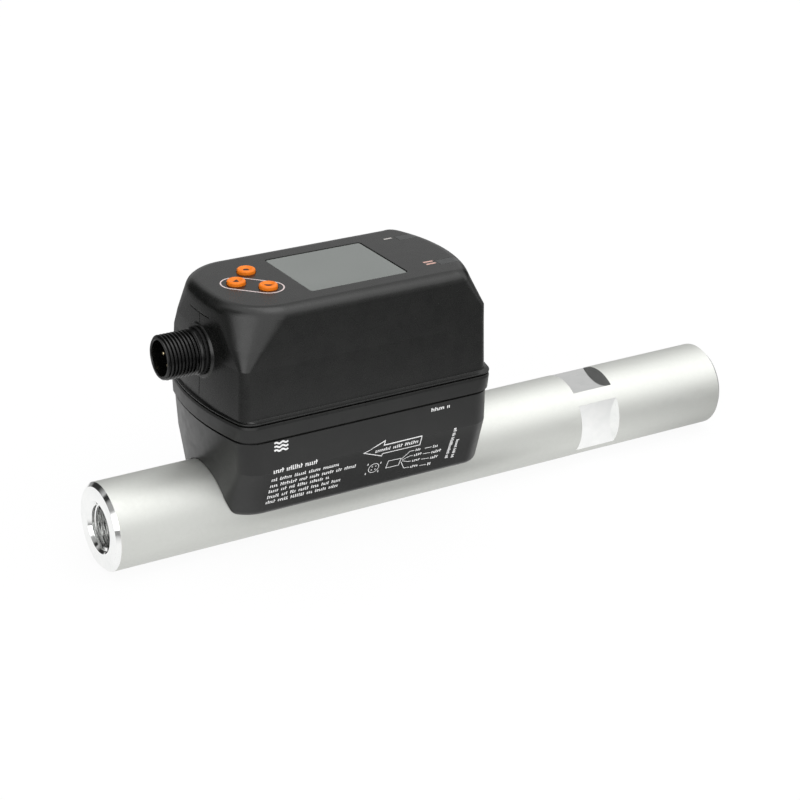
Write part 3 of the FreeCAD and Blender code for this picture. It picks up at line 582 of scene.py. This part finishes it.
class Marks:
    def __init__(self, surface, lift, folds=()):
        self.surface = surface
        self.folds = folds
        self.lift = lift
        self.points = []
        self.faces = []

    def plate(self, corners):
        """Raised plate between its corners"""
        first = len(self.points)
        for lift in (-self.lift, self.lift):
            self.points += [self.surface(u, v, lift) for u, v in corners]
        n = len(corners)
        self.faces.append(tuple(first + i for i in range(n)))
        self.faces.append(tuple(first + n + i for i in range(n)))
        for i in range(n):
            j = (i + 1) % n
            self.faces.append((first + i, first + j, first + n + j, first + n + i))

    def bar(self, u0, u1, v0, v1):
        """Upright rectangle, divided where the surface folds"""
        levels = [v0] + [f for f in self.folds if v0 < f < v1] + [v1]
        for low, high in zip(levels, levels[1:]):
            self.plate([(u0, low), (u1, low), (u1, high), (u0, high)])

    def line(self, points, width, closed=False):
        """Line with mitred corners, divided where the surface folds"""
        points = self.divided(points + points[:1] if closed else points)
        if closed:
            points = points[:-1]
        count = len(points)
        left = []
        right = []
        for i, (u, v) in enumerate(points):
            before = points[i - 1] if closed or i > 0 else None
            after = points[(i + 1) % count] if closed or i < count - 1 else None
            normals = []
            if before:
                normals.append(self.normal(before, (u, v)))
            if after:
                normals.append(self.normal((u, v), after))
            nu = sum(n[0] for n in normals)
            nv = sum(n[1] for n in normals)
            length = math.hypot(nu, nv)
            nu, nv = nu / length, nv / length
            reach = width / 2 / max(nu * normals[0][0] + nv * normals[0][1], SHARPEST_MITRE)
            left.append((u + nu * reach, v + nv * reach))
            right.append((u - nu * reach, v - nv * reach))
        for i in range(count if closed else count - 1):
            j = (i + 1) % count
            self.plate([left[i], left[j], right[j], right[i]])

    def divided(self, points):
        made = [points[0]]
        for (u0, v0), (u1, v1) in zip(points, points[1:]):
            for fold in self.folds:
                if min(v0, v1) < fold < max(v0, v1):
                    share = (fold - v0) / (v1 - v0)
                    made.append((u0 + (u1 - u0) * share, fold))
            made.append((u1, v1))
        return made

    @staticmethod
    def normal(start, end):
        du = end[0] - start[0]
        dv = end[1] - start[1]
        length = math.hypot(du, dv)
        return (-dv / length, du / length)

    def piece(self, name, material, body=BODY):
        return new_piece(name, self.points, self.faces, [material], body)


def near_side(x, z, lift):
    """Point on the lower housing's near side, which turns inwards below the facet line"""
    half = SIDE_Y - max(FACET_Z - z, 0.0) * FACET_SLOPE
    return (x, -half - lift, z)


def on_top(x, y, lift):
    return (x, y, TOP_Z + lift)


# Print on the near side: no words, only signs of the same size and weight

# Signs are strokes in groups: an upright one, then often a short flat one
SIGN_W = 0.28
SIGN_GAP = 0.27
GAP_BEFORE = SIGN_GAP * 0.45
GAP_AFTER = SIGN_GAP * 0.55
FLAT_REACH = SIGN_GAP * 0.3
FLAT_H = 0.24
FLAT_CHANCE = 0.6
TALL_CHANCE = 0.35
SMALL_H = 0.74
SIGNS_IN_WORD = (3, 8)
WORD_GAP = 0.7

ROW_START = 38.7
# End, base line and height of the signs of each row
ROWS = (
    (52.4, 15.2, 1.35),
    (59.4, 12.4, 1.1),
    (64.5, 10.3, 1.1),
    (57.2, 8.4, 1.1),
    (61.1, 6.4, 1.1),
    (60.4, 4.5, 1.1),
)
# Start, end, base line and height
UPPER_ROW = (86.5, 92.6, 22.5, 1.0)

# Two columns beside the diagrams: their sides, foot and head
COLUMNS = ((94.0, 95.0, 5.2, 16.3), (96.0, 96.9, 4.9, 11.6))
COLUMN_SHORT = 0.75
COLUMN_BREAK_CHANCE = 0.1

WAVE_LEVELS = (21.75, 22.8, 23.85)
WAVE_START = 38.9
WAVE_STEP = 0.25
WAVE_POINTS = 17
WAVE_HEIGHT = 0.22
WAVE_HALF_LENGTH = 0.98
WAVE_W = 0.5

ARROW = [(65.9, 14.8), (72.25, 17.2), (72.0, 15.95), (83.7, 16.0), (83.8, 12.9), (72.1, 13.0),
         (72.0, 12.2)]
ARROW_W = 0.26
ARROW_ROW = (69.6, 83.0, 13.9, 1.15)

# Wiring diagram: the plug, then each lead's root, bend and tip and the end of its label
PLUG = [(74.9, 9.6), (78.9, 9.4), (78.7, 7.0), (74.7, 7.1)]
PLUG_W = 0.2
LEADS = (
    ((79.0, 9.0), (81.2, 11.3), (88.1, 11.0), 90.1),
    ((79.4, 8.6), (81.7, 9.5), (88.2, 8.9), 92.4),
    ((79.55, 8.3), (81.6, 7.5), (88.4, 6.9), 92.4),
    ((79.2, 8.1), (80.8, 5.4), (88.1, 4.6), 89.7),
)
LEAD_W = 0.18
LEAD_GAP = (82.6, 85.9)
LEAD_NAME = (83.0, 85.6)
LEAD_NAME_DROP = 0.4
LEAD_NAME_H = 0.85
LABEL_GAP = 0.5
LABEL_DROP = 0.5
LABEL_H = 1.0

# Pin diagram: a ring with four dots inside and four strokes around it
PIN_RING = (70.6, 8.25, 1.55)
PIN_RING_W = 0.17
PIN_REACH = 0.8
PIN_DOT_R = 0.2
PIN_STROKES = ((68.4, 9.8), (72.5, 9.4), (68.4, 6.5), (72.3, 6.4))
PIN_STROKE_SIDES = (-0.1, 0.16, -0.1, 0.55)


def sign_row(marks, chance, start, end, base, height):
    """Row of short upright and flat strokes, grouped like words"""
    x = start
    left_in_word = chance.randint(*SIGNS_IN_WORD)
    while x + SIGN_W < end:
        tall = chance.random() < TALL_CHANCE
        top = base + height * (1.0 if tall else SMALL_H)
        marks.bar(x, x + SIGN_W, base, top)
        x += SIGN_W + GAP_BEFORE
        if chance.random() < FLAT_CHANCE and x + SIGN_GAP < end:
            low = base if chance.random() < 0.5 else base + height * 0.5
            marks.bar(x - GAP_BEFORE, x + FLAT_REACH, low, low + height * FLAT_H)
            x += FLAT_REACH
        x += GAP_AFTER
        left_in_word -= 1
        if left_in_word == 0:
            x += WORD_GAP
            left_in_word = chance.randint(*SIGNS_IN_WORD)


def sign_column(marks, chance, x0, x1, start, end):
    """The same running upwards"""
    z = start
    while z + SIGN_W < end:
        width = (x1 - x0) * (1.0 if chance.random() < 0.5 else COLUMN_SHORT)
        marks.bar(x0, x0 + width, z, z + SIGN_W)
        z += SIGN_W + GAP_AFTER
        if chance.random() < COLUMN_BREAK_CHANCE:
            z += WORD_GAP / 2


def air_waves(marks):
    """Bold sign of moving air in the title's place"""
    for z in WAVE_LEVELS:
        points = []
        for i in range(WAVE_POINTS):
            run = WAVE_STEP * i
            points.append((WAVE_START + run, z + WAVE_HEIGHT * math.sin(run * math.pi / WAVE_HALF_LENGTH)))
        marks.line(points, WAVE_W)


def flow_arrow(marks, chance):
    marks.line(ARROW, ARROW_W, closed=True)
    sign_row(marks, chance, *ARROW_ROW)


def wiring_sign(marks, chance):
    marks.line(PLUG, PLUG_W, closed=True)
    for root, bend, tip, label_end in LEADS:
        slope = (tip[1] - bend[1]) / (tip[0] - bend[0])
        gap_start, gap_end = [(x, bend[1] + slope * (x - bend[0])) for x in LEAD_GAP]
        marks.line([root, bend, gap_start], LEAD_W)
        marks.line([gap_end, tip], LEAD_W)
        sign_row(marks, chance, *LEAD_NAME, gap_start[1] - LEAD_NAME_DROP, LEAD_NAME_H)
        sign_row(marks, chance, tip[0] + LABEL_GAP, label_end, tip[1] - LABEL_DROP, LABEL_H)


def pin_sign(marks):
    u, v, r = PIN_RING
    marks.line(circle(u, v, r, 48), PIN_RING_W, closed=True)
    for angle in (45, 135, 225, 315):
        a = math.radians(angle)
        marks.plate(circle(u + PIN_REACH * math.cos(a), v + PIN_REACH * math.sin(a), PIN_DOT_R, 10))
    left, right, foot, head = PIN_STROKE_SIDES
    for x, z in PIN_STROKES:
        marks.bar(x + left, x + right, z + foot, z + head)


def side_print(material):
    chance = random.Random(7)
    marks = Marks(near_side, PRINT_LIFT, (FACET_Z,))
    air_waves(marks)
    for end, base, height in ROWS:
        sign_row(marks, chance, ROW_START, end, base, height)
    flow_arrow(marks, chance)
    wiring_sign(marks, chance)
    pin_sign(marks)
    sign_row(marks, chance, *UPPER_ROW)
    for column in COLUMNS:
        sign_column(marks, chance, *column)
    return marks.piece("side_print", material)


# Marks on the top

OUTLINE_R = 4.07
OUTLINE_W = 0.38
# Bars beside each output light: their sides along the meter and across it
ONE_BAR = ((90.5, 93.0, 11.1, 11.7),)
TWO_BARS = ((90.6, 93.5, -9.13, -8.37), (90.6, 93.5, -10.68, -9.92))
# Symbols in the caps, from each cap's middle
DOT = circle(0.0, 0.0, 0.8, 20)
UP_SIGN = [(0.56, 0.90), (-1.10, -0.16), (0.34, -1.06)]
DOWN_SIGN = [(-0.52, -0.83), (1.05, -0.47), (-0.87, 0.73)]


def half_circle(u, v, r, start, count=32):
    """Half a circle's points from an angle in degrees"""
    angles = [math.radians(start + 180 * i / count) for i in range(count + 1)]
    return [(u + r * math.cos(a), v + r * math.sin(a)) for a in angles]


def button_outline(material):
    """Raised line round the up and down buttons"""
    axis = math.degrees(math.atan2(DOWN_XY[1] - UP_XY[1], DOWN_XY[0] - UP_XY[0]))
    points = half_circle(*UP_XY, OUTLINE_R, axis + 90) + half_circle(*DOWN_XY, OUTLINE_R, axis - 90)
    marks = Marks(on_top, OUTLINE_LIFT)
    marks.line(points, OUTLINE_W, closed=True)
    return marks.piece("button_outline", material)


def output_mark(name, bars, material):
    marks = Marks(on_top, MARK_LIFT)
    for bar in bars:
        marks.bar(*bar)
    return marks.piece(name, material)


def button_symbol(name, place, outline, material, body):
    """Dark symbol pressed into the dish of a cap"""
    def in_dish(u, v, lift):
        floor = CAP_TOP - DISH_DEPTH + DISH_R - math.sqrt(DISH_R ** 2 - u ** 2 - v ** 2)
        return (place[0] + u, place[1] + v, floor + lift)

    marks = Marks(in_dish, SYMBOL_LIFT)
    marks.plate(outline)
    return marks.piece(name, material, body)


def button_symbols(material):
    button_symbol("enter_symbol", ENTER_XY, DOT, material, "enter_button")
    button_symbol("up_symbol", UP_XY, UP_SIGN, material, "up_button")
    button_symbol("down_symbol", DOWN_XY, DOWN_SIGN, material, "down_button")


# Stage: in metres, apart from the floor's height and half width, which are in millimetres

CAMERA_PLACE = (-0.21000, -0.47939, 0.27156)
CAMERA_TURN = math.radians(-32.03)
CAMERA_TILT = math.radians(24.26)
CAMERA_ROLL = math.radians(1.465)
CAMERA_LENS = 101.13
CAMERA_SENSOR = 36.0
CAMERA_NEAREST = 0.01

FLOOR_Z = -12.0
FLOOR_HALF = 4000.0
FLOOR_WHITE = (0.86, 0.86, 0.86, 1.0)
# How much of the floor the camera sees as plain white, and reflections as mirrored light
FLOOR_SEEN = 0.92
FLOOR_MIRRORED = 0.85
# Mirrored light by distance from the meter's middle: from, to, and the light at each
FLOOR_MIDDLE = (0.07, 0.0, -0.012)
FLOOR_FALL = (0.095, 0.165, 0.95, 0.15)
# The meter's own shade along its near side, in units of its reach
SHADE_MIDDLE = (0.085, -0.0245, -0.012)
SHADE_REACH = (0.046, 0.009, 1.0)
SHADE_FALL = (0.8, 1.3, 0.30, 1.0)
# Light from beyond the table's front edge, on the outlet's side
FRONT_FALL = (-0.25, -0.40)
FRONT_SIDE_FALL = (0.22, 0.10, 0.0, 1.5)

# Tent of soft light: its strength before the changes, and the least that is left
TENT = 0.70
TENT_LEAST = 0.04
# Direction, cosine where the change begins and where it is full, the change
PATCHES = (
    ((-0.25, -0.85, 0.45), -0.50, 0.35, 1.15),
    ((-0.45, 0.78, 0.40), 0.73, 0.94, -0.72),
    ((-0.95, 0.30, -0.05), 0.87, 0.95, -1.40),
    ((-0.78, 0.12, 0.61), 0.90, 0.975, -1.40),
    ((0.94, 0.33, 0.00), 0.85, 0.96, -0.70),
    ((0.62, -0.78, 0.08), 0.87, 0.97, -1.30),
    ((-0.82, -0.50, 0.27), 0.89, 0.98, 1.10),
    ((0.20, -0.32, 0.92), 0.86, 0.98, 0.70),
)

LAMP_PLACE = (0.25, 0.0, 1.1)
LAMP_TARGET = (0.09, 0.0, 0.03)
LAMP_SIZE = (0.9, 0.5)
LAMP_POWER = 1.5


def add_camera():
    data = bpy.data.cameras.new("camera")
    data.sensor_width = CAMERA_SENSOR
    data.lens = CAMERA_LENS
    data.clip_start = CAMERA_NEAREST
    camera = bpy.data.objects.new("camera", data)
    bpy.context.scene.collection.objects.link(camera)
    a, e = CAMERA_TURN, CAMERA_TILT
    back = Vector((math.sin(a) * math.cos(e), -math.cos(a) * math.cos(e), math.sin(e)))
    level = Vector((math.cos(a), math.sin(a), 0.0))
    upright = back.cross(level)
    right = level * math.cos(CAMERA_ROLL) + upright * math.sin(CAMERA_ROLL)
    up = upright * math.cos(CAMERA_ROLL) - level * math.sin(CAMERA_ROLL)
    axes = Matrix((right, up, back)).transposed().to_4x4()
    camera.matrix_world = Matrix.Translation(CAMERA_PLACE) @ axes
    bpy.context.scene.camera = camera


def mirrored_light(graph):
    """What glossy surfaces see of the floor: bright near the meter, darker further out"""
    place = graph.add("NewGeometry").outputs["Position"]
    fall = graph.ranged(graph.vector("DISTANCE", place, FLOOR_MIDDLE), *FLOOR_FALL)
    beside = graph.add("Mapping", {"Vector": place, "Location": SHADE_MIDDLE, "Scale": SHADE_REACH},
                       vector_type="TEXTURE").outputs["Vector"]
    shade = graph.ranged(graph.vector("LENGTH", beside), *SHADE_FALL)
    axes = graph.add("SeparateXYZ", {"Vector": place}).outputs
    front = graph.ranged(axes["Y"], *FRONT_FALL)
    side = graph.ranged(axes["X"], *FRONT_SIDE_FALL)
    return graph.math("MULTIPLY_ADD", front, side, graph.math("MULTIPLY", fall, shade))


def floor_material():
    """White floor that still shows a faint shadow"""
    material = bpy.data.materials.new("floor")
    graph = Graph(material)
    graph.nodes.clear()
    path = graph.add("LightPath").outputs
    lit = graph.add("BsdfDiffuse", {"Color": FLOOR_WHITE}).outputs["BSDF"]
    white = graph.add("Emission", {"Strength": 1.0}).outputs["Emission"]
    seen = graph.math("MAXIMUM", path["Is Camera Ray"], path["Is Transmission Ray"])
    plain = graph.mix(graph.math("MULTIPLY", seen, FLOOR_SEEN), lit, white)
    mirrored = graph.add("Emission", {"Strength": mirrored_light(graph)}).outputs["Emission"]
    share = graph.math("MULTIPLY", path["Is Glossy Ray"], FLOOR_MIRRORED)
    graph.add("OutputMaterial", {"Surface": graph.mix(share, plain, mirrored)})
    return material


def add_floor():
    corners = ((-1, -1), (1, -1), (1, 1), (-1, 1))
    points = [(FLOOR_HALF * x, FLOOR_HALF * y, FLOOR_Z) for x, y in corners]
    floor = new_piece("floor", points, [(0, 1, 2, 3)], [floor_material()], None)


def add_world():
    """White tent: brighter in front and overhead, with dark gaps behind and past both ends"""
    world = bpy.data.worlds.new("tent")
    bpy.context.scene.world = world
    graph = Graph(world)
    graph.nodes.clear()
    way = graph.add("TexCoord").outputs["Generated"]
    total = TENT
    for direction, edge, full, change in PATCHES:
        nearness = graph.vector("DOT_PRODUCT", way, Vector(direction).normalized())
        total = graph.math("ADD", total, graph.ranged(nearness, edge, full, 0.0, change, "SMOOTHSTEP"))
    strength = graph.math("MAXIMUM", total, TENT_LEAST)
    tent = graph.add("Background", {"Strength": strength}).outputs["Background"]
    white = graph.add("Background", {"Strength": 1.0}).outputs["Background"]
    camera_ray = graph.add("LightPath").outputs["Is Camera Ray"]
    graph.add("OutputWorld", {"Surface": graph.mix(camera_ray, tent, white)})


def add_lamp():
    data = bpy.data.lights.new("overhead", "AREA")
    data.shape = "RECTANGLE"
    data.size, data.size_y = LAMP_SIZE
    data.energy = LAMP_POWER
    lamp = bpy.data.objects.new("overhead", data)
    bpy.context.scene.collection.objects.link(lamp)
    way = Vector(LAMP_TARGET) - Vector(LAMP_PLACE)
    lamp.location = LAMP_PLACE
    lamp.rotation_euler = way.to_track_quat("-Z", "Y").to_euler()


def add_stage():
    add_camera()
    add_floor()
    add_world()
    add_lamp()
    bpy.context.scene.view_settings.view_transform = "Standard"


# Materials of the CAD nodes that stay as they are

def node_materials():
    return {
        cover_plastic(): ["upper_housing"],
        housing_plastic(): ["lower_housing"],
        rubber(): ["housing_gasket", "display_gasket", "button_seal", "connector_seal", "probe_seal",
                   "port_seal"],
        display_glass(): ["display_window"],
        plain_plastic("display_body", (0.07, 0.075, 0.072), 0.4): ["display_module"],
        ribbon_film(): ["display_ribbon", "board_ribbon", "connector_ribbon"],
        plain_plastic("ivory_plastic", (0.62, 0.58, 0.48)): [
            "display_ribbon_socket", "control_ribbon_socket", "main_ribbon_socket",
            "connector_ribbon_socket"],
        orange_plastic(): ["enter_button", "up_button", "down_button"],
        plain_plastic("dark_plastic", (0.02, 0.02, 0.021)): [
            "enter_switch", "up_switch", "down_switch", "connector_insert", "probe_header"],
        smoked_plastic(): ["output_light_1", "output_light_2"],
        plain_plastic("led_plastic", (0.75, 0.74, 0.62), 0.3): ["output_led_1", "output_led_2"],
        laminate(): ["control_board", "main_board", "connector_board"],
        plain_metal("steel", (0.56, 0.56, 0.57), 0.3): [
            "control_board_screws", "main_board_screws", "probe_screws", "housing_screws"],
        plain_metal("gold", (0.95, 0.80, 0.52), 0.20): [
            "contact_pin_1", "contact_pin_2", "contact_pin_3", "contact_pin_4"],
        plain_metal("nickel", (0.60, 0.57, 0.50), 0.28): ["connector_nut"],
        plain_plastic("probe_plastic", (0.30, 0.25, 0.18), 0.4): ["sensor_probe"],
        plain_plastic("ceramic", (0.80, 0.79, 0.75), 0.35): ["heated_element", "reference_element"],
    }


def finish_nodes():
    for material, names in node_materials().items():
        for name in names:
            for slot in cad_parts[name].material_slots:
                slot.material = material


finish_nodes()
pipe_piece(blasted_aluminium(), machined_aluminium())
connector_piece(connector_plastic())
side_print(ink("white_ink", (0.80, 0.80, 0.80)))
# Pale ink of the button outline; its pink tint is painted reflection of the nearby orange caps
button_outline(ink("outline_ink_and_reflection", (0.68, 0.58, 0.57)))
output_mark("output_mark_1", ONE_BAR, ink("grey_ink", (0.50, 0.48, 0.46)))
output_mark("output_mark_2", TWO_BARS, ink("rose_ink", (0.60, 0.38, 0.33)))
button_symbols(ink("symbol_ink", (0.045, 0.018, 0.010)))
add_stage()
